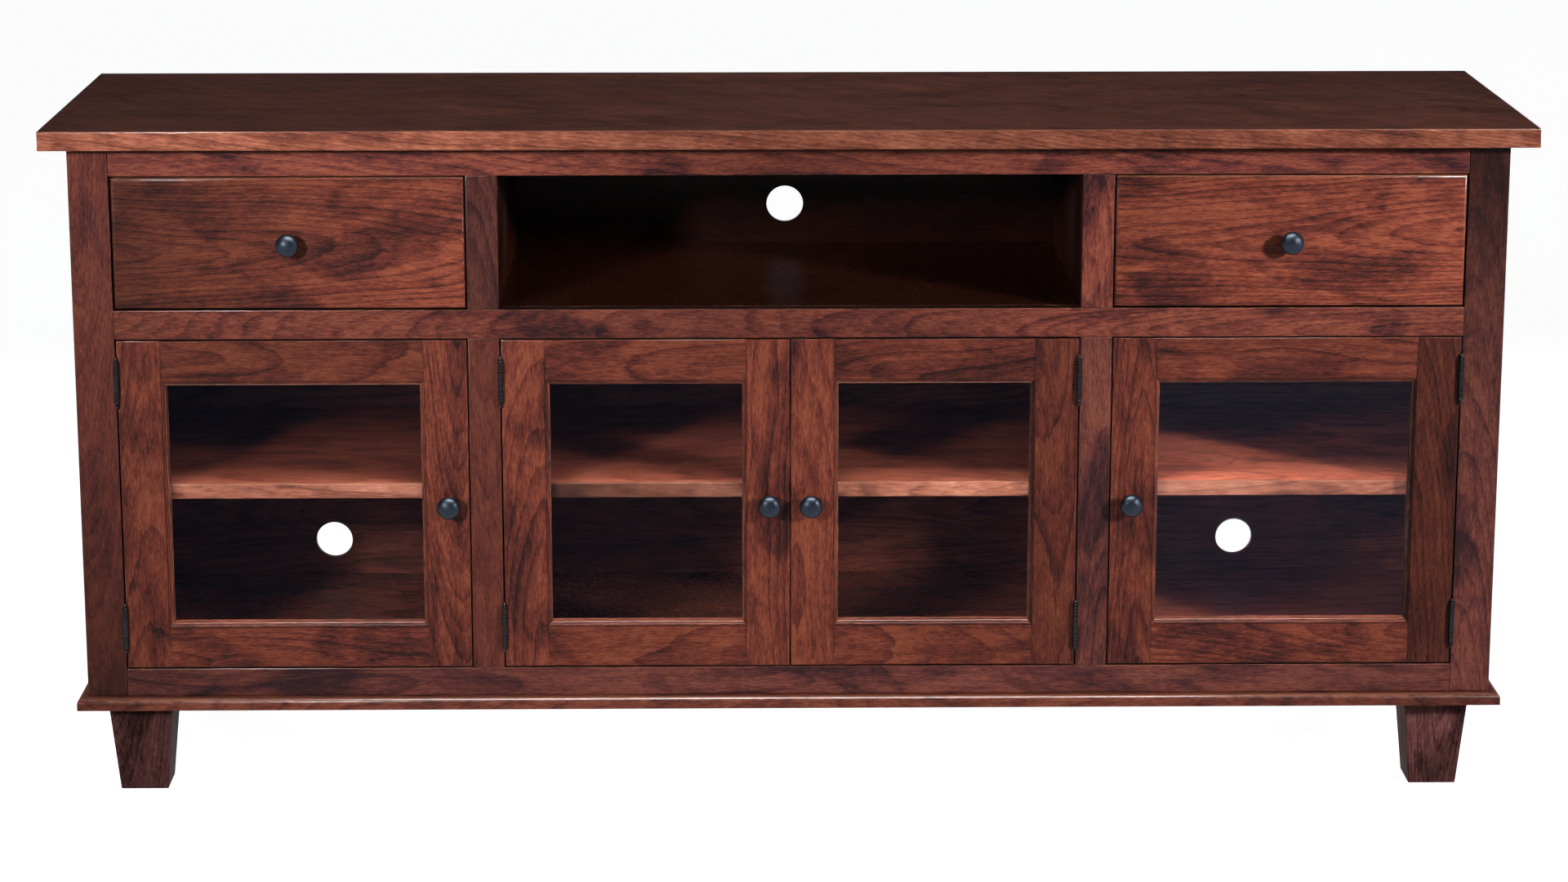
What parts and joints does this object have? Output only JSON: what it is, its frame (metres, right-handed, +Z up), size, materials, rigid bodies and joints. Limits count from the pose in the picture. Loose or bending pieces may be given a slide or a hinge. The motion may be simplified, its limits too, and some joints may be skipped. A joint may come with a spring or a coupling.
{
  "type": "media console",
  "caption": "Wide stained-wood media console with inset drawers, an open bay, glazed hinged doors, fixed shelves, cable holes in the back and tapered feet.",
  "frame": {"origin": "on the floor, below the middle of the top panel", "axes": "+X along the width to the viewer's right, +Y from the front to the back, +Z up"},
  "size_m": [1.892, 0.533, 0.884],
  "materials": {
    "top_wood": "satin lacquer over dark red-brown stain",
    "frame_wood": "satin lacquer over dark red-brown stain",
    "door_wood": "satin lacquer over dark red-brown stain",
    "drawer_wood": "satin lacquer over dark red-brown stain",
    "case_wood": "satin lacquer over dark red-brown stain",
    "base_wood": "satin lacquer over dark red-brown stain",
    "drawer_box_wood": "clear lacquer",
    "door_glass": "clear",
    "hinge_metal": "dark oiled bronze",
    "knob_metal": "satin black"
  },
  "bodies": {
    "case": {"top_panel": "top_wood", "left_side_panel": "case_wood", "right_side_panel": "case_wood", "left_partition": "case_wood", "right_partition": "case_wood", "bottom_panel": "case_wood", "middle_deck": "case_wood", "back_panel": "case_wood", "left_shelf": "case_wood", "centre_shelf": "case_wood", "right_shelf": "case_wood", "left_stile": "frame_wood", "right_stile": "frame_wood", "top_rail": "frame_wood", "middle_rail": "frame_wood", "bottom_rail": "frame_wood", "upper_left_mullion": "frame_wood", "upper_right_mullion": "frame_wood", "lower_left_mullion": "frame_wood", "lower_right_mullion": "frame_wood", "base_board": "base_wood", "left_front_foot": "base_wood", "right_front_foot": "base_wood", "left_rear_foot": "base_wood", "right_rear_foot": "base_wood", "left_door_upper_hinge_fixed_leaf": "hinge_metal", "left_door_lower_hinge_fixed_leaf": "hinge_metal", "centre_left_door_upper_hinge_fixed_leaf": "hinge_metal", "centre_left_door_lower_hinge_fixed_leaf": "hinge_metal", "centre_right_door_upper_hinge_fixed_leaf": "hinge_metal", "centre_right_door_lower_hinge_fixed_leaf": "hinge_metal", "right_door_upper_hinge_fixed_leaf": "hinge_metal", "right_door_lower_hinge_fixed_leaf": "hinge_metal"},
    "left_drawer": {"left_drawer_front": "drawer_wood", "left_drawer_box": "drawer_box_wood", "left_drawer_knob": "knob_metal"},
    "right_drawer": {"right_drawer_front": "drawer_wood", "right_drawer_box": "drawer_box_wood", "right_drawer_knob": "knob_metal"},
    "left_door": {"left_door_frame": "door_wood", "left_door_glass": "door_glass", "left_door_knob": "knob_metal", "left_door_upper_hinge_door_leaf": "hinge_metal", "left_door_lower_hinge_door_leaf": "hinge_metal"},
    "centre_left_door": {"centre_left_door_frame": "door_wood", "centre_left_door_glass": "door_glass", "centre_left_door_knob": "knob_metal", "centre_left_door_upper_hinge_door_leaf": "hinge_metal", "centre_left_door_lower_hinge_door_leaf": "hinge_metal"},
    "centre_right_door": {"centre_right_door_frame": "door_wood", "centre_right_door_glass": "door_glass", "centre_right_door_knob": "knob_metal", "centre_right_door_upper_hinge_door_leaf": "hinge_metal", "centre_right_door_lower_hinge_door_leaf": "hinge_metal"},
    "right_door": {"right_door_frame": "door_wood", "right_door_glass": "door_glass", "right_door_knob": "knob_metal", "right_door_upper_hinge_door_leaf": "hinge_metal", "right_door_lower_hinge_door_leaf": "hinge_metal"}
  },
  "joints": [
    {"name": "left_drawer_slide", "type": "slide", "parent": "case", "child": "left_drawer", "axis": [0, -1, 0], "range_m": [0, 0.3]},
    {"name": "right_drawer_slide", "type": "slide", "parent": "case", "child": "right_drawer", "axis": [0, -1, 0], "range_m": [0, 0.3]},
    {"name": "left_door_swing", "type": "hinge", "parent": "case", "child": "left_door", "pos_m": [-0.862, -0.2383, 0.39275], "axis": [0, 0, -1], "range_deg": [0, 170]},
    {"name": "centre_left_door_swing", "type": "hinge", "parent": "case", "child": "centre_left_door", "pos_m": [-0.371, -0.2383, 0.39275], "axis": [0, 0, -1], "range_deg": [0, 155]},
    {"name": "centre_right_door_swing", "type": "hinge", "parent": "case", "child": "centre_right_door", "pos_m": [0.371, -0.2383, 0.39275], "axis": [0, 0, 1], "range_deg": [0, 155]},
    {"name": "right_door_swing", "type": "hinge", "parent": "case", "child": "right_door", "pos_m": [0.862, -0.2383, 0.39275], "axis": [0, 0, 1], "range_deg": [0, 170]}
  ]
}
